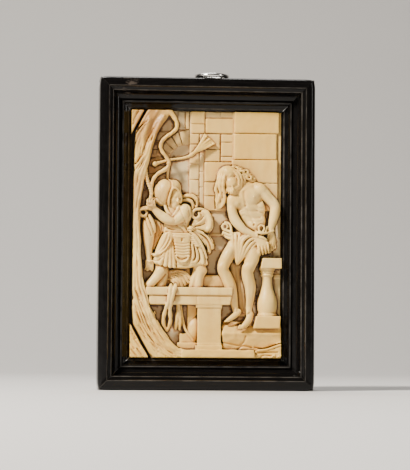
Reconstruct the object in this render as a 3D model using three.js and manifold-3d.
// A small carved ivory relief in a blackened moulded frame that stands on its bottom edge and has a
// hanging ring on top. Millimetres, +Z up, +X to the right for a person facing the carving, front
// towards -Y. The origin is in the middle of the frame's underside, and of its depth.

import * as THREE from "three";
import { mergeVertices } from "three/addons/utils/BufferGeometryUtils.js";
import Module from "manifold-3d";

// Driving dimensions.
const SIGHT_WIDTH = 76; // ivory that shows between the frame's lips
const SIGHT_HEIGHT = 124;
const MOULDING_WIDTH = 16;
const FRAME_DEPTH = 22;
const CLEARANCE = 0.3; // between pieces that touch in the real object
const LIP_BACK = 9.5; // height of the lip's underside above the frame's back
const REBATE_STEP = 1.6; // how far the rebate behind the lip is cut back from the sight edge
const IVORY_BACK = 6; // height of the ivory's flat back above the frame's back
const IVORY_LAP = 0.9; // ivory hidden behind the lip
const GROUND = 3; // thickness of the ivory at the background
const BOARD_THICKNESS = 3.6;
const RING_DIAMETER = 17.4;
const RING_WIRE = 2;
const RING_ACROSS = 2.4; // the ring sits a little right of the middle
const STAPLE_WIRE = 0.9;
const STAPLE_LEG = 6;
const STAPLE_FROM_BACK = 4.5;

// Sizes that follow from them.
const FRAME_WIDTH = SIGHT_WIDTH + 2 * MOULDING_WIDTH;
const FRAME_HEIGHT = SIGHT_HEIGHT + 2 * MOULDING_WIDTH;
const HALF_DEPTH = FRAME_DEPTH / 2;
const SIGHT_X = SIGHT_WIDTH / 2;
const SIGHT_Z = SIGHT_HEIGHT / 2;
const IVORY_X = SIGHT_X + IVORY_LAP;
const IVORY_Z = SIGHT_Z + IVORY_LAP;
const LIP_HEIGHT = LIP_BACK - IVORY_BACK; // the lip's underside, measured from the ivory's back

// How finely round shapes are cut into flats.
const LIMB_SIDES = 6;
const THIN_SIDES = 4;
const THICK = 1.5; // a limb stouter than this gets LIMB_SIDES
const BALL_SIDES = 8;
const BALL_RINGS = 5;
const CORD_SIDES = 5;
const RING_SIDES = 8;
const RING_LENGTHS = 20;
const SLIVER = 0.15; // joins leave slivers this thin, which are taken out

const IVORY = new THREE.MeshStandardMaterial({ color: 0xe6d3a8, roughness: 0.45, metalness: 0 });
const EBONISED = new THREE.MeshStandardMaterial({ color: 0x15110f, roughness: 0.35, metalness: 0 });
const BOARD = new THREE.MeshStandardMaterial({ color: 0x1b1511, roughness: 0.8, metalness: 0 });
const SILVER = new THREE.MeshStandardMaterial({ color: 0xc4c4c0, roughness: 0.3, metalness: 1 });

const wasm = await Module();
wasm.setup();

// A closed three.js geometry as a solid, with the zero-area triangles at its poles left out.
function solid(geometry) {
  geometry.deleteAttribute("normal");
  geometry.deleteAttribute("uv");
  const merged = mergeVertices(geometry, 1e-4);
  const corners = merged.index.array;
  const kept = [];
  for (let i = 0; i < corners.length; i += 3) {
    const [a, b, c] = corners.slice(i, i + 3);
    if (a !== b && b !== c && c !== a) kept.push(a, b, c);
  }
  const vertProperties = new Float32Array(merged.attributes.position.array);
  return new wasm.Manifold(
    new wasm.Mesh({ numProp: 3, vertProperties, triVerts: new Uint32Array(kept) }),
  );
}

function join(solids) {
  return solids.reduce((whole, piece) => whole.add(piece));
}

function cut(whole, tools) {
  return tools.reduce((rest, tool) => rest.subtract(tool), whole);
}

// Carved pieces that lean on each other can seal small hollows between them: these are filled.
function filled(whole) {
  return join(whole.decompose().filter((body) => body.volume() > 0));
}

// A solid as a named mesh.
function mesh(name, made, material) {
  const { vertProperties, triVerts } = made.getMesh();
  const geometry = new THREE.BufferGeometry();
  geometry.setAttribute("position", new THREE.BufferAttribute(vertProperties, 3));
  geometry.setIndex(new THREE.BufferAttribute(triVerts, 1));
  const piece = new THREE.Mesh(geometry, material);
  piece.name = name;
  return piece;
}

// The moulding's cross-section: u runs in from the frame's outer edge, and the height is above its
// back. A rounded nose, a wide band, two fillets, a cove, a bead, an inner band and the lip.
function mouldingSection() {
  const section = new THREE.Shape();
  section.moveTo(0, 0);
  section.lineTo(0, 18.4);
  section.quadraticCurveTo(0.1, 21.6, 3.1, 21.9);
  section.lineTo(4.9, FRAME_DEPTH);
  section.lineTo(5.3, 20.7);
  section.lineTo(6.9, 20.5);
  section.lineTo(7.3, 19.1);
  section.quadraticCurveTo(7.9, 15.2, 10.7, 14.7);
  section.absarc(11.7, 14.3, 1.05, Math.PI, 0, true);
  section.lineTo(12.9, 13.0);
  section.lineTo(14.9, 12.3);
  section.lineTo(15.2, 11.5);
  section.quadraticCurveTo(16, 11.4, MOULDING_WIDTH, 10.7);
  section.lineTo(MOULDING_WIDTH, LIP_BACK);
  section.lineTo(MOULDING_WIDTH - REBATE_STEP, LIP_BACK);
  section.lineTo(MOULDING_WIDTH - REBATE_STEP, 0);
  return section;
}

// One mitred length, drawn as the bottom rail about the middle of the frame: each point of the
// section is stretched only as far as the mitre leaves it.
function mouldingLength(outerLength, fromMiddle) {
  const shape = { depth: 1, bevelEnabled: false, curveSegments: 4 };
  const geometry = new THREE.ExtrudeGeometry(mouldingSection(), shape);
  const position = geometry.attributes.position;
  const mitreGap = CLEARANCE / Math.SQRT2;
  for (let i = 0; i < position.count; i += 1) {
    const inward = position.getX(i);
    const reach = outerLength - 2 * inward - 2 * mitreGap;
    position.setXYZ(
      i,
      (position.getZ(i) - 0.5) * reach,
      HALF_DEPTH - position.getY(i),
      inward - fromMiddle,
    );
  }
  return solid(geometry);
}

// The carving is worked from its flat back: x across and z up from the middle of the sight, h the
// height above the back, r a radius, and deep the share of it that a flattened body has in depth.
function spot(x, z, h, r, deep = 1) {
  return { x, z, h, r, deep };
}

function place({ x, z, h }) {
  return new THREE.Vector3(x, -h, z);
}

function flat(points) {
  return points.map(([x, z]) => new THREE.Vector2(x, z));
}

function outline(points) {
  return new THREE.Shape(flat(points));
}

// Carries a shape's outline on through the given points in one smooth line.
function curveThrough(shape, points) {
  shape.splineThru(flat(points));
}

// A flat-backed piece with the given outline and softened edges.
function slab(shape, low, high, edge = 0, curveSegments = 3) {
  const settings = {
    depth: high - low - 2 * edge,
    bevelEnabled: edge > 0,
    bevelThickness: edge,
    bevelSize: edge,
    bevelOffset: -edge,
    bevelSegments: 1,
    curveSegments,
  };
  const geometry = new THREE.ExtrudeGeometry(shape, settings);
  geometry.translate(0, 0, low + edge);
  geometry.rotateX(Math.PI / 2);
  return solid(geometry);
}

function block(x0, x1, z0, z1, low, high) {
  const geometry = new THREE.BoxGeometry(x1 - x0, high - low, z1 - z0);
  geometry.translate((x0 + x1) / 2, -(low + high) / 2, (z0 + z1) / 2);
  return solid(geometry);
}

// A limb, rod or fold: one closed tube with round ends through the given joints, each with its own
// radius. It is a sphere whose rows are moved on to the joints; a row never twists, because each is
// turned by the direction towards the viewer.
function limb(...joints) {
  const places = joints.map(place);
  const stout = Math.max(...joints.map((joint) => joint.r));
  const sides = stout > THICK ? LIMB_SIDES : THIN_SIDES;
  const last = joints.length - 1;
  const headings = places.map((_, i) => {
    const before = places[Math.max(i - 1, 0)];
    const after = places[Math.min(i + 1, last)];
    return after.clone().sub(before).normalize();
  });
  const middle = joints.map((_, joint) => ({ joint, shift: 0, width: 1 }));
  const cap = (joint, side) => {
    const rounding = { joint, shift: side * Math.SQRT1_2, width: Math.SQRT1_2 };
    return [...(stout > THICK ? [rounding] : []), { joint, shift: side, width: 0 }];
  };
  const rows = [...cap(last, 1).reverse(), ...middle.reverse(), ...cap(0, -1)];
  const geometry = new THREE.SphereGeometry(1, sides, rows.length - 1);
  const position = geometry.attributes.position;
  rows.forEach(({ joint, shift, width }, row) => {
    const radius = joints[joint].r;
    const heading = headings[joint];
    const toViewer = new THREE.Vector3(0, -1, 0).projectOnPlane(heading).normalize();
    const sideways = new THREE.Vector3().crossVectors(toViewer, heading);
    for (let i = 0; i <= sides; i += 1) {
      const turn = ((i % sides) / sides) * 2 * Math.PI;
      const point = places[joint].clone().addScaledVector(heading, shift * radius);
      point.addScaledVector(toViewer, width * radius * joints[joint].deep * Math.cos(turn));
      point.addScaledVector(sideways, -width * radius * Math.sin(turn));
      position.setXYZ(row * (sides + 1) + i, point.x, point.y, point.z);
    }
  });
  return solid(geometry);
}

// An egg shape, turned by tilt degrees in the plane of the relief.
function ball({ x, z, h }, across, up, deep, tilt = 0) {
  const geometry = new THREE.SphereGeometry(1, BALL_SIDES, BALL_RINGS);
  geometry.scale(across, deep, up);
  geometry.rotateY(THREE.MathUtils.degToRad(tilt));
  geometry.translate(x, -h, z);
  return solid(geometry);
}

// A wire of even thickness along a path.
function wireAlong(extrudePath, radius, steps) {
  const section = new THREE.Shape();
  for (let i = 0; i < CORD_SIDES; i += 1) {
    const turn = (i / CORD_SIDES) * 2 * Math.PI;
    const corner = [radius * Math.cos(turn), radius * Math.sin(turn)];
    if (i === 0) section.moveTo(...corner);
    else section.lineTo(...corner);
  }
  return solid(new THREE.ExtrudeGeometry(section, { steps, extrudePath, bevelEnabled: false }));
}

// A cord through the given spots.
function cord(radius, steps, spots) {
  return wireAlong(new THREE.CatmullRomCurve3(spots.map(place)), radius, steps);
}

// A shape with the same section all along x, given as [z, h] corners.
function run(section, x0, x1) {
  const shape = new THREE.Shape(section.map(([z, h]) => new THREE.Vector2(z, h)));
  const geometry = new THREE.ExtrudeGeometry(shape, { depth: x1 - x0, bevelEnabled: false });
  const position = geometry.attributes.position;
  for (let i = 0; i < position.count; i += 1) {
    position.setXYZ(i, x0 + position.getZ(i), -position.getY(i), position.getX(i));
  }
  return solid(geometry);
}

// Masonry: a column of blocks between the given joints, on a bed a joint's depth lower.
const JOINT_WIDTH = 0.45;
const JOINT_DEPTH = 0.6;
function masonry(x0, x1, joints, high) {
  const bed = block(x0, x1, joints[0], joints[joints.length - 1], 0, high - JOINT_DEPTH);
  const half = JOINT_WIDTH / 2;
  const courses = joints.slice(1).map((top, i) => block(x0, x1, joints[i] + half, top - half, 0, high));
  return join([bed, ...courses]);
}

// The left edge of the ivory, which follows the tusk, and the two corners that it leaves for fillers.
const EDGE_X = -36.2;
const UPPER_CORNER = { x: -29.6, z: 51.5 };
const LOWER_CORNER = { x: -26.2, z: -45.2 };
const CORNER_JOINT = 1.1;

const TUSK_EDGE = [
  [UPPER_CORNER.x, IVORY_Z],
  [EDGE_X + 0.6, UPPER_CORNER.z],
  [EDGE_X, 40],
  [EDGE_X - 0.4, -38],
  [EDGE_X + 0.2, LOWER_CORNER.z],
  [LOWER_CORNER.x, -IVORY_Z],
];

// The whole ivory up to the given height.
function ivory(high) {
  return slab(outline([...TUSK_EDGE, [IVORY_X, -IVORY_Z], [IVORY_X, IVORY_Z]]), 0, high);
}

// The wall behind the figures: piers, courses of blocks and the large ashlars at the right.
function wall() {
  const upperBay = block(-14.2, -10.5, 52.6, IVORY_Z, 0, 3.6);
  const upperStrip = block(-10.5, -8.7, 52.6, IVORY_Z, 0, 4.6);
  const pier = masonry(-8.4, -3.7, [13, 27, 45.3, 50.6], 5);
  const pierHead = masonry(-7.8, -1, [50.6, 55.6, IVORY_Z], 5.2);
  const strip = masonry(-3.4, -1.1, [14.5, 50.6], 4.6);
  const topCourse = block(-0.4, 13.7, 58.5, IVORY_Z, 0, 4.6);
  const longBlock = masonry(-0.4, 13.7, [50.8, 58.4], 5.3);
  const leftBlocks = masonry(-0.4, 6.9, [36.6, 43, 50.8], 5);
  const rightBlocks = masonry(7.5, 13.6, [36.6, 46.3, 50.8], 5);
  const lowerWall = masonry(-0.9, 13.8, [12.4, 26.3, 36.6], 5.6);
  const dado = block(-8.4, 13.8, 0.3, 12.4, 0, 4.3);
  const plinth = block(-8.4, 13.8, -20, 0.3, 0, 4);
  const ashlars = masonry(13.8, 35.9, [12, 25.9, 37.8], 6.6);
  const upperAshlars = masonry(13.9, 35.7, [37.8, 50.9, 62], 6.2);
  const edgeStrip = masonry(36.3, IVORY_X, [-40, 25, 50.6, IVORY_Z], 4.6);
  return join([
    upperBay,
    upperStrip,
    pier,
    pierHead,
    strip,
    topCourse,
    longBlock,
    leftBlocks,
    rightBlocks,
    lowerWall,
    dado,
    plinth,
    ashlars,
    upperAshlars,
    edgeStrip,
  ]);
}

// The left half of a stone arch over the niche, one wedge at a time.
const ARCH = { x: -9.3, z: 35.5, inner: 9.8, outer: 16.6, high: 4.3, stones: 6 };
function arch() {
  const reach = Math.PI / 2 / ARCH.stones;
  const stones = [];
  for (let i = 0; i < ARCH.stones; i += 1) {
    const from = Math.PI / 2 + i * reach + 0.02;
    const to = from + reach - 0.04;
    const stone = new THREE.Shape();
    stone.absarc(ARCH.x, ARCH.z, ARCH.inner, from, to, false);
    stone.absarc(ARCH.x, ARCH.z, ARCH.outer, to, from, true);
    stones.push(slab(stone, 0, ARCH.high, 0, 1));
  }
  return join(stones);
}

// The tree that borders the left side and spreads into the ground below: its inner edge is one curve.
const TREE_HIGH = 10.6;
function tree() {
  const shape = outline([...TUSK_EDGE, [-3, -IVORY_Z], [-5, -58.2]]);
  const inner = [
    [-10, -57.7],
    [-15, -55.5],
    [-20, -50],
    [-25, -42.5],
    [-28.6, -32.5],
    [-31, -24],
    [-32.6, -12],
    [-33.6, 6],
    [-32.4, 19],
    [-29.4, 32],
    [-26.2, 45],
    [-19.6, 57.8],
  ];
  curveThrough(shape, inner);
  shape.lineTo(-17, IVORY_Z);
  const trunk = slab(shape, 0, TREE_HIGH, 0.7);
  // Bold gouges of bark run up the trunk and fan out with the roots: place, and lean in degrees.
  const gouges = [
    [-33.4, 51.5, 24],
    [-27.8, 50.5, 24],
    [-34, 36.5, 30],
    [-34.3, -31, -16],
    [-31.5, -41.5, -20],
    [-28.5, -47, -24],
    [-30, -53, -35],
  ];
  const reach = 4.2;
  const tools = gouges.map(([x, z, lean]) => {
    const across = reach * Math.sin(THREE.MathUtils.degToRad(lean));
    const up = reach * Math.cos(THREE.MathUtils.degToRad(lean));
    const ends = [-1, 1].map((side) => spot(x + side * across, z + side * up, TREE_HIGH + 0.2, 0.15));
    return limb(ends[0], spot(x, z, TREE_HIGH, 0.75), ends[1]);
  });
  return cut(trunk, tools);
}

// Two small fillers, cut like the trunk and parted from it by a slanting joint.
function cornerFiller(corner, side) {
  const edge = side * IVORY_Z;
  const slant = Math.hypot(corner.x - EDGE_X, edge - corner.z) / Math.abs(edge - corner.z);
  const away = CORNER_JOINT * slant;
  const shape = outline([
    [-IVORY_X, edge],
    [-IVORY_X, corner.z - side * 1.2],
    [EDGE_X - 1.4, corner.z],
    [corner.x - away, edge],
  ]);
  const filler = slab(shape, 0, TREE_HIGH - 1, 0.4);
  return withinSight(filler);
}

// Ropes over the branch, the rods that hang on it, and the branch itself.
function ropes() {
  const branch = cord(1.15, 15, [
    spot(-17.6, 61.8, 8.8),
    spot(-16, 57.5, 9),
    spot(-14.9, 54.2, 9),
    spot(-15.8, 51.1, 8.8),
    spot(-19, 48.9, 8.8),
    spot(-22, 46.2, 9),
    spot(-22.7, 43.2, 9),
    spot(-21.2, 39.8, 9),
    spot(-19.3, 36.6, 9),
    spot(-19.2, 33, 8.8),
    spot(-19.6, 29, 6.5),
    spot(-20, 26, 5),
  ]);
  const rope = cord(1, 8, [
    spot(-19.8, 32, 8.8),
    spot(-22.8, 30.4, 8.6),
    spot(-25.6, 27.7, 8.4),
    spot(-26.8, 24, 8.2),
    spot(-27.2, 20, 8.4),
    spot(-27.6, 16.5, 8.6),
  ]);
  const twist = cord(0.9, 5, [
    spot(-30.6, 31, 8.4),
    spot(-29.4, 26.5, 8.2),
    spot(-27.9, 22.5, 8.2),
    spot(-27.6, 18, 8.6),
  ]);
  const stick = limb(
    spot(-26, 34.8, 8, 1.2),
    spot(-24.8, 35.2, 8, 0.7),
    spot(-18.6, 36.9, 7.6, 0.8),
    spot(-9.5, 38.5, 7.8, 0.9),
    spot(-6.4, 40.4, 7.8, 1.1),
  );
  const brush = [];
  const twigs = 4;
  for (let i = 0; i < twigs; i += 1) {
    const share = i / (twigs - 1);
    const tip = spot(-1.6 + 4.6 * share, 49.3 - 3.8 * share, 5.8, 1);
    brush.push(limb(spot(-6.4 + 0.5 * share, 40.9 - 0.4 * share, 7.8, 0.8), tip));
  }
  const strand = limb(spot(-5.6, 40.6, 7.4, 0.8), spot(-1.5, 43.4, 7, 0.8), spot(0.8, 44, 6.6, 0.5));
  return join([branch, rope, twist, stick, ...brush, strand]);
}

// The crouching figure behind the parapet, from the helmet down.
function crouchingFigure() {
  const helmet = join([
    ball(spot(-20.4, 21.7, 7.4), 6.2, 7.1, 4.7, -14),
    ball(spot(-15.8, 20.2, 7.4), 4.2, 5.4, 4.2, -10),
    ball(spot(-22.6, 16.6, 7.6), 2.2, 3, 2.6, 10),
  ]);
  const face = join([
    ball(spot(-15.6, 18.4, 9.4), 3, 4.3, 2.9, -4),
    ball(spot(-15.5, 15.6, 10), 1.9, 1.6, 2),
  ]);
  const neck = limb(spot(-17.4, 15, 7.4, 2.6), spot(-15.6, 9, 7, 3));
  const nearArm = limb(
    spot(-9.6, 12.2, 8.4, 2.9),
    spot(-17.4, 7.4, 9.4, 2.7),
    spot(-25.4, 11.6, 9.2, 2.1),
    spot(-28.2, 14.6, 9, 2.4),
  );
  const farArm = limb(spot(-23.4, 15, 7, 1.8), spot(-27.6, 16.6, 7.6, 1.7), spot(-28.6, 13.6, 8, 1.6));
  const farHand = limb(
    spot(-28.8, 13.4, 8.2, 1.2),
    spot(-31.6, 11.6, 8, 0.9),
    spot(-32.3, 9.6, 8, 0.9),
    spot(-29.6, 9, 8.2, 1),
  );
  const chest = join([
    ball(spot(-13.6, 7.6, 6.6), 7, 6.8, 3.9, 0),
    ball(spot(-14.4, 2.2, 6.8), 6.4, 3.4, 3.8, 0),
  ]);
  const belt = slab(outline([[-21.4, -1.9], [-7.6, -1.7], [-7.8, 0.6], [-21, 0.4]]), 0, 10.9, 0.6);
  return join([helmet, face, neck, nearArm, farArm, farHand, chest, belt, skirt(), figureLegs()]);
}

// The skirt with its apron, side flap, hem and folds.
function skirt() {
  const cloth = new THREE.Shape();
  cloth.moveTo(-20.2, 0);
  cloth.lineTo(-7.6, 0);
  curveThrough(cloth, [[-3.2, -3.5], [0.2, -9], [1.3, -15]]);
  curveThrough(cloth, [[-5, -15.9], [-12, -17.2], [-18.5, -16.8], [-25.4, -15.4]]);
  curveThrough(cloth, [[-25.6, -10], [-23, -4]]);
  const body = slab(cloth, 0, 10, 1.2, 2);
  const apron = new THREE.Shape();
  apron.moveTo(-15.8, -1.6);
  apron.lineTo(-15.5, -10.5);
  apron.quadraticCurveTo(-14.6, -14.6, -11.2, -14.6);
  apron.quadraticCurveTo(-8.4, -14.2, -8.2, -10.5);
  apron.lineTo(-7.9, -1.6);
  const panel = slab(apron, 0, 11.4, 0.6);
  const flapShape = outline([
    [-27.2, -10.7],
    [-22, -9.4],
    [-18.6, -6.9],
    [-15.8, -2.6],
    [-17, -0.4],
    [-21.4, -1.2],
    [-23.6, -6.6],
  ]);
  const flap = slab(flapShape, 0, 10.8, 0.7);
  const folds = [
    limb(spot(-20.6, -9.4, 10.5, 0.5), spot(-21.4, -15.6, 10.2, 0.7)),
    limb(spot(-17.9, -6, 10.6, 0.5), spot(-18.6, -15.6, 10.2, 0.7)),
    limb(spot(-6.7, -4, 10.6, 0.5), spot(-6.4, -14.8, 10.3, 0.6)),
    limb(spot(-4, -5.5, 10.4, 0.5), spot(-3.8, -14.6, 10.2, 0.6)),
  ];
  const bands = [-5.6, -8, -10.4].map((z) => limb(spot(-14, z, 11.6, 0.3), spot(-9.2, z, 11.6, 0.3)));
  return join([cut(body, folds), cut(panel, bands), flap]);
}

function figureLegs() {
  const leftLeg = limb(spot(-22, -14, 7.6, 3.4), spot(-22.2, -18.6, 8.2, 3.4), spot(-26.6, -26.5, 8.2, 3));
  const rightLeg = limb(spot(-3, -14, 7.8, 3.2), spot(-2.6, -17.6, 8.6, 3.3), spot(-6.2, -26.5, 8, 3.1));
  // Gathered cloth hangs between the legs.
  const gathers = [];
  const count = 4;
  for (let i = 0; i < count; i += 1) {
    const share = i / (count - 1);
    gathers.push(
      limb(
        spot(-18.4 + 8.6 * share, -17 - 0.6 * share, 5.2, 1),
        spot(-15.6 + 7.4 * share, -22 + 0.6 * share, 5.4, 1),
        spot(-11.8 + 3.6 * share, -26.5, 5.4, 0.9),
      ),
    );
  }
  const backing = block(-21, -4, -28, -16, 0, 4.4);
  return join([leftLeg, rightLeg, backing, ...gathers]);
}

// The cloth that flies behind the crouching figure and is knotted at the hip.
function flyingCloth() {
  const top = cord(1.3, 7, [
    spot(-11.8, 17.6, 6.4),
    spot(-8.8, 18.3, 7),
    spot(-5.6, 17.2, 7),
    spot(-4.6, 14.8, 6.8),
    spot(-5.6, 12.4, 6.6),
    spot(-6.9, 9.6, 6.4),
    spot(-8, 6.5, 6),
  ]);
  const web = block(-11, -5.4, 10, 17.4, 0, 6);
  const curl = cord(1, 6, [
    spot(-1.4, 12, 7.4),
    spot(-3.6, 9.6, 7.6),
    spot(-5.4, 8.9, 7.4),
    spot(-6, 10.6, 7),
    spot(-4.6, 12.4, 6.8),
  ]);
  const billowShape = new THREE.Shape();
  billowShape.moveTo(-7.5, 3.4);
  curveThrough(billowShape, [
    [-4.5, 7.6],
    [-4.6, 11.8],
    [-0.6, 12.2],
    [2.4, 8.8],
    [3.7, 5],
    [2.6, 1.8],
    [-0.6, 1.4],
    [-4, 2],
  ]);
  const billow = slab(billowShape, 0, 8.4, 0.8, 2);
  const knot = ball(spot(-7.4, 3.2, 9), 1.9, 1.6, 1.7, 30);
  const tailShape = outline([
    [-5.4, 2],
    [-2, 2.2],
    [1.2, -0.6],
    [4.3, -4.9],
    [4, -6.8],
    [2.8, -7.6],
    [1.9, -10.1],
    [0, -7],
    [-2, -3],
  ]);
  const tail = slab(tailShape, 0, 8, 0.8);
  const edge = limb(spot(-7, 1.4, 9.8, 1), spot(-2.6, -2.4, 9.4, 1.1), spot(0, -8.6, 8.6, 0.9));
  const pleats = [0, 1, 2].map((i) =>
    limb(spot(-6.6 + i * 0.5, -1.6 - i * 1.5, 9.8, 0.7), spot(-3.6 + i * 0.6, -2.2 - i * 1.5, 9.6, 0.7)),
  );
  return join([top, web, curl, billow, knot, tail, edge, ...pleats]);
}

// The bundle of rods that the crouching figure is binding.
function bundle() {
  const body = limb(
    spot(-29.2, 6.4, 6.2, 2.1, 1.6),
    spot(-28.7, 0, 6, 2.8, 1.5),
    spot(-28.2, -13.2, 6, 1.9, 1.7),
  );
  const wrap = limb(spot(-27.8, 8.6, 8, 0.9), spot(-26.6, 4.4, 8, 1), spot(-25.2, 0.8, 7.4, 0.8));
  const tuck = limb(spot(-25.6, 8.6, 5, 1.9), spot(-22.8, 4, 4.6, 1.8), spot(-24, -3, 3.6, 1.4));
  const ends = [];
  const count = 4;
  for (let i = 0; i < count; i += 1) {
    const x = -29.5 + (3.2 * i) / (count - 1);
    ends.push(limb(spot(x, -13.4, 7, 0.8), spot(x + 0.4, -17, 6, 0.5)));
  }
  return join([body, wrap, tuck, ...ends]);
}

// The parapet in front of the figures, its pier, and what hangs over and stands under it.
function parapet() {
  const fascia = [[-30.4, 0], [-30.4, 10.7], [-29.9, 11.3], [-27.3, 11.3], [-26.7, 10.8], [-26.7, 0]];
  const upper = run(fascia, -30, 13.2);
  const lower = run([[-35.4, 0], [-35.4, 10], [-34.8, 10.6], [-30.4, 10.6], [-30.4, 0]], -28.4, 12.3);
  const pier = block(-4.3, 7.6, -56, -35, 0, 9.8);
  const cap = run([[-37.2, 0], [-37.2, 9.8], [-36.4, 10.3], [-35.3, 10.3], [-35.3, 0]], -5, 8.1);
  const foot = run([[-58.4, 0], [-58.4, 10.5], [-55.6, 10.5], [-54.6, 9.8], [-54.6, 0]], -5.3, 8.2);
  const straps = [
    limb(spot(-17.4, -26.4, 11, 0.9), spot(-18.2, -30.5, 11.6, 0.9), spot(-19.2, -36.5, 10.6, 0.8)),
    limb(spot(-15.4, -26.4, 11, 0.9), spot(-16.6, -30.5, 11.6, 0.9), spot(-18.2, -36.5, 10.6, 0.9)),
    limb(spot(-19.2, -36.5, 9.6, 0.8), spot(-20.9, -42, 8, 0.8), spot(-20.4, -46.4, 7, 0.7)),
    limb(spot(-18.2, -36.5, 9.6, 0.9), spot(-18.4, -42, 8.4, 0.9), spot(-19.4, -48.2, 7, 0.7)),
    limb(spot(-13.4, -35, 8.4, 1), spot(-14, -41, 7.8, 1.3), spot(-13.4, -47.6, 6.6, 0.8)),
    limb(spot(-12.4, -35, 7.6, 0.9), spot(-11.4, -42, 7, 0.9), spot(-6.6, -53.6, 6, 0.8)),
  ];
  const haunch = slab(outline([[-8.8, -44.6], [-4.2, -40], [-4.2, -35.3], [-8.8, -35.3]]), 0, 5.6);
  const stone = ball(spot(-5.2, -48, 3.2), 4.6, 7, 3.6, -14);
  const step = block(-12.7, -5, -54.2, -49.8, 0, 5.6);
  const sill = block(-14, -4, -58, -54.2, 0, 6.6);
  return join([upper, lower, pier, cap, foot, ...straps, haunch, stone, step, sill]);
}

// The ledge along the bottom and the sloping floor that the standing figure is on.
function floor() {
  const ledgeSection = [
    [-IVORY_Z, 0],
    [-IVORY_Z, 9.8],
    [-61.6, 11.2],
    [-58.4, 11.2],
    [-57.8, 10.8],
    [-57.8, 0],
  ];
  const ledge = run(ledgeSection, -7, 24.4);
  const slopeSection = [
    [-58, 0],
    [-58, 7.6],
    [-55, 7.8],
    [-52, 8.8],
    [-49.6, 9.8],
    [-48.4, 9.6],
    [-45.5, 7],
    [-43.6, 4.6],
    [-43.6, 0],
  ];
  const slope = run(slopeSection, 8.6, IVORY_X);
  const brokenFace = outline([
    [24.4, -IVORY_Z],
    [24.4, -58.2],
    [28, -57.4],
    [IVORY_X, -54.6],
    [IVORY_X, -IVORY_Z],
  ]);
  const brokenTop = outline([
    [24.8, -58.6],
    [28, -57.2],
    [33, -56.4],
    [IVORY_X, -53.8],
    [IVORY_X, -56.2],
    [31, -58.4],
  ]);
  const stone = ball(spot(35.6, -60.2, 8), 2.6, 1.6, 2.6, 20);
  return join([ledge, slope, slab(brokenFace, 0, 9.2, 0.6), slab(brokenTop, 0, 10.4, 0.5), stone]);
}

// The stone baluster at the right: turned, and sunk by half into the ground of the relief.
const BALUSTER = { x: 30.9, h: 6 };
function baluster() {
  const profile = [
    [0, -41],
    [4.7, -41],
    [4.7, -40.4],
    [4.4, -39.4],
    [4.9, -36.6],
    [4.9, -34],
    [4.2, -30.6],
    [3.2, -27.6],
    [2.6, -24],
    [2.5, -21],
    [3.4, -20.2],
    [3.2, -18.8],
    [3.9, -18.2],
    [3.9, -16.6],
    [0, -16.6],
  ];
  const geometry = new THREE.LatheGeometry(profile.map(([r, z]) => new THREE.Vector2(r, z)), 10);
  geometry.rotateX(Math.PI / 2);
  geometry.translate(BALUSTER.x, -BALUSTER.h, 0);
  const shaft = solid(geometry);
  const cap = slab(outline([[27.3, -17], [28.1, -11.9], [IVORY_X, -11.9], [IVORY_X, -17]]), 0, 10.9, 0.3);
  const base = slab(outline([[23.6, -46.9], [25.2, -40.9], [37.2, -40.9], [37.2, -46.9]]), 0, 11, 0.3);
  const backing = block(28, 37.6, -42, -16, 0, 4.4);
  return join([shaft, cap, base, backing]);
}

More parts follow.
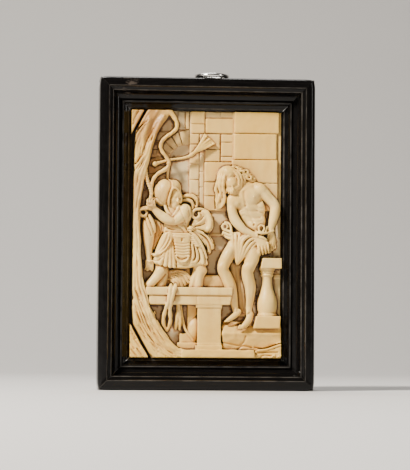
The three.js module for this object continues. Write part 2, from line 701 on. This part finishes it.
// The standing bound figure, from the bowed head down.
function standingFigure() {
  const head = join([
    ball(spot(10.6, 29.6, 8), 5.1, 5.4, 4.3, -20),
    ball(spot(11.8, 25.6, 9), 3.9, 4.8, 3.2, -12),
    ball(spot(13.4, 22, 8.8), 3.3, 2.7, 2.8, -20),
  ]);
  const locks = [
    limb(spot(6.4, 31.4, 8, 1.5), spot(5.7, 26.6, 7.8, 1.5), spot(6.2, 21.4, 7.2, 1.1)),
    limb(spot(7.6, 27, 8, 1.3), spot(8, 21.4, 7.6, 1.3), spot(8.6, 17.4, 7, 1.2), spot(6.6, 13.6, 6.4, 1)),
    limb(spot(6.2, 21, 7, 1), spot(5.9, 16.8, 6.6, 1), spot(6.6, 13.8, 6.4, 0.9)),
    limb(spot(13, 33.4, 7.6, 1.4), spot(17.2, 31.6, 7, 1.3), spot(22.8, 28.6, 6.8, 1)),
    limb(spot(14.4, 31.4, 8, 1.3), spot(17.8, 28.8, 7.4, 1.2), spot(20.8, 26.4, 7.4, 1)),
    limb(spot(14.8, 28.6, 8.2, 1.2), spot(17.4, 25.6, 8, 1.1), spot(18.4, 22.6, 8, 0.8)),
  ];
  const torso = join([
    limb(
      spot(19.4, 23.6, 7, 4.6, 0.7),
      spot(20.2, 19.6, 7, 8.4, 0.5),
      spot(20.8, 13.4, 6.8, 7.4, 0.55),
      spot(23.6, 6.6, 6.8, 6.2, 0.62),
      spot(23.6, 1.6, 6.8, 6.6, 0.58),
      spot(19.8, -3.6, 6.6, 7.4, 0.5),
      spot(18, -7.4, 6, 4.6, 0.6),
    ),
    ball(spot(15.8, 16.2, 8), 4.4, 4.4, 3.4, 10),
    ball(spot(22.8, 19.4, 8), 4.9, 5.2, 3.8, -14),
    limb(spot(14.6, 25, 7.4, 3), spot(20, 22.4, 7, 3.4), spot(26, 23, 7.2, 3.6)),
  ]);
  const leftArm = limb(
    spot(13.1, 16.4, 8.2, 2.8),
    spot(14.2, 5.2, 8.8, 2.8),
    spot(22.8, -0.2, 9.8, 1.9),
    spot(27.4, -4.4, 9.8, 2.3),
    spot(28, -6, 9.6, 2.3),
  );
  const rightArm = limb(
    spot(26.8, 22.6, 7.6, 3.7),
    spot(34.6, 14.2, 7.4, 3),
    spot(32.4, 2.4, 8.4, 1.8),
    spot(33, -3.4, 8, 2),
  );
  const fingers = [0, 1, 2].flatMap((i) => [
    limb(spot(26.9 + i * 1.5, -7 - 0.1 * i, 9.8, 0.95), spot(27.7 + i * 1.4, -10.6, 9, 0.75)),
    limb(spot(32.1 + i * 1.2, -4, 8.6, 0.85), spot(32.7 + i, -10, 7.6, 0.7)),
  ]);
  const binding = cord(0.9, 6, [
    spot(24.4, 1.2, 8.6),
    spot(26.4, -0.6, 10.4),
    spot(29, -0.4, 10.8),
    spot(31.2, 1.6, 10.2),
    spot(33.6, 3.2, 8.2),
  ]);
  const loop = ball(spot(27.6, 3, 9.9), 1.8, 1.8, 0.7);
  return join([head, ...locks, torso, leftArm, rightArm, ...fingers, binding, loop, loincloth(), bareLegs()]);
}

function loincloth() {
  const cloth = slab(
    outline([
      [12.6, -0.4],
      [16.6, 1],
      [25.2, -0.6],
      [25.6, -3],
      [22.2, -7.6],
      [18.8, -12.4],
      [16.6, -14.6],
      [15.4, -13.2],
      [14.6, -8],
      [12.8, -4.6],
    ]),
    0,
    10.3,
    1,
  );
  const hem = [
    [15.2, 17],
    [17.4, 17.6],
    [19.6, 18.6],
    [22, 19.8],
  ];
  const folds = hem.map(([top, foot], i) =>
    limb(spot(top, -1.6, 10.6, 0.5), spot(foot, -12 + 1.8 * i, 10.4, 0.6)),
  );
  const knot = join([
    limb(spot(13.4, 0.6, 8.8, 1.5), spot(10.4, 2, 8, 1.2), spot(9, 4.6, 7.4, 1), spot(10.6, 5.9, 7, 0.8)),
    limb(spot(13, -0.8, 8.6, 1.3), spot(10.8, -0.4, 8, 1.2), spot(9.2, 1.2, 7.4, 0.9)),
  ]);
  const backing = block(8.6, 13, -1, 5, 0, 6.6);
  return join([cut(cloth, folds), knot, backing]);
}

function bareLegs() {
  const leftLeg = limb(
    spot(14.2, -4.6, 6.6, 4),
    spot(9, -15, 8, 3.6, 1.2),
    spot(12.4, -26, 6.2, 3.2, 1.2),
    spot(14.6, -37.4, 5.6, 1.9, 1.6),
    spot(16.2, -40.2, 6, 1.8, 1.4),
  );
  const leftFoot = limb(spot(15.8, -40, 7, 1.8), spot(12.6, -42.4, 7.8, 1.6), spot(10.8, -43.6, 8, 1.1));
  const rightLeg = limb(
    spot(22.8, -6.4, 7, 4.2),
    spot(21.2, -17, 8.4, 3.4, 1.2),
    spot(22.4, -26, 6.8, 3.1, 1.3),
    spot(22, -37.6, 6.4, 1.9, 1.8),
    spot(21.8, -41.6, 7.4, 2, 1.5),
  );
  const rightFoot = limb(spot(21.6, -42, 8.8, 2), spot(19.8, -45, 9.6, 1.9), spot(18.6, -46.4, 9.8, 1.5));
  const boulder = ball(spot(5.2, -27.4, 2.6), 5.6, 7, 3.4);
  return join([leftLeg, leftFoot, rightLeg, rightFoot, boulder]);
}

// Everything in front of the lip's underside has to stay inside the sight.
function withinSight(whole) {
  const reach = SIGHT_X - CLEARANCE;
  const rise = SIGHT_Z - CLEARANCE;
  const edge = LIP_HEIGHT - CLEARANCE;
  const behind = block(-IVORY_X, IVORY_X, -IVORY_Z, IVORY_Z, 0, edge);
  const inFront = block(-reach, reach, -rise, rise, 0, FRAME_DEPTH);
  return whole.intersect(behind.add(inFront));
}

function ivoryRelief() {
  const whole = join([
    ivory(GROUND),
    wall(),
    arch(),
    tree(),
    ropes(),
    crouchingFigure(),
    flyingCloth(),
    bundle(),
    parapet(),
    floor(),
    baluster(),
    standingFigure(),
  ]);
  // Whatever pokes out past the tusk's edge is cut away.
  return filled(withinSight(whole.intersect(ivory(FRAME_DEPTH)))).simplify(SLIVER);
}

// The hanging ring and the staple that holds it, both centred on the ring's hinge line.
const RING_RADIUS = (RING_DIAMETER - RING_WIRE) / 2;
const HINGE = {
  x: RING_ACROSS,
  y: HALF_DEPTH - STAPLE_FROM_BACK,
  z: FRAME_HEIGHT + CLEARANCE + RING_WIRE / 2,
};
const STAPLE_RADIUS = RING_WIRE / 2 + CLEARANCE + STAPLE_WIRE / 2;

function hangingRing() {
  return solid(new THREE.TorusGeometry(RING_RADIUS, RING_WIRE / 2, RING_SIDES, RING_LENGTHS));
}

// One wire bent into a half circle, with straight legs.
function staple() {
  const bends = 6;
  const leg = (side) => new THREE.Vector3(0, side * STAPLE_RADIUS, -STAPLE_LEG);
  const bow = Array.from({ length: bends + 1 }, (_, i) => {
    const turn = Math.PI * (1 - i / bends);
    return new THREE.Vector3(0, STAPLE_RADIUS * Math.cos(turn), STAPLE_RADIUS * Math.sin(turn));
  });
  const extrudePath = new THREE.CurvePath();
  const points = [leg(-1), ...bow, leg(1)];
  points.slice(1).forEach((point, i) => extrudePath.add(new THREE.LineCurve3(points[i], point)));
  return wireAlong(extrudePath, STAPLE_WIRE / 2, 18);
}

// The bores for the staple's legs, in the top rail as it is drawn: bottom side up.
function stapleBores() {
  return [-1, 1].map((side) => {
    const radius = STAPLE_WIRE / 2 + CLEARANCE;
    const depth = STAPLE_LEG;
    const bore = new THREE.CylinderGeometry(radius, radius, depth, 8);
    bore.rotateX(Math.PI / 2);
    bore.translate(-HINGE.x, HINGE.y + side * STAPLE_RADIUS, -FRAME_HEIGHT / 2 + depth / 2);
    return solid(bore);
  });
}

const plaque = new THREE.Group();

// The frame turns one drawn length to each side, about the middle of the frame.
const frame = new THREE.Group();
frame.position.z = FRAME_HEIGHT / 2;
const rail = mouldingLength(FRAME_WIDTH, FRAME_HEIGHT / 2);
const stile = mouldingLength(FRAME_HEIGHT, FRAME_WIDTH / 2);
const sides = [
  ["frame_rail_bottom", rail, 0],
  ["frame_rail_top", cut(rail, stapleBores()), Math.PI],
  ["frame_stile_left", stile, Math.PI / 2],
  ["frame_stile_right", stile, -Math.PI / 2],
];
for (const [name, length, turn] of sides) {
  const side = mesh(name, length, EBONISED);
  side.rotation.y = turn;
  frame.add(side);
}
plaque.add(frame);

// The carving and its fillers stand on the ivory's flat back.
const carving = new THREE.Group();
carving.position.set(0, HALF_DEPTH - IVORY_BACK, FRAME_HEIGHT / 2);
carving.add(mesh("ivory_relief", ivoryRelief(), IVORY));
carving.add(mesh("ivory_corner_upper_left", cornerFiller(UPPER_CORNER, 1), IVORY));
carving.add(mesh("ivory_corner_lower_left", cornerFiller(LOWER_CORNER, -1), IVORY));
plaque.add(carving);

const boardBox = new THREE.BoxGeometry(2 * IVORY_X, BOARD_THICKNESS, 2 * IVORY_Z);
const backboard = mesh("backboard", solid(boardBox), BOARD);
const boardFront = HALF_DEPTH - IVORY_BACK + CLEARANCE;
backboard.position.set(0, boardFront + BOARD_THICKNESS / 2, FRAME_HEIGHT / 2);
plaque.add(backboard);

const ringMesh = mesh("hanging_ring", hangingRing(), SILVER);
ringMesh.position.set(HINGE.x, HINGE.y - RING_RADIUS, HINGE.z);
plaque.add(ringMesh);

const stapleMesh = mesh("staple", staple(), SILVER);
stapleMesh.position.set(HINGE.x, HINGE.y, HINGE.z);
plaque.add(stapleMesh);

export default plaque;
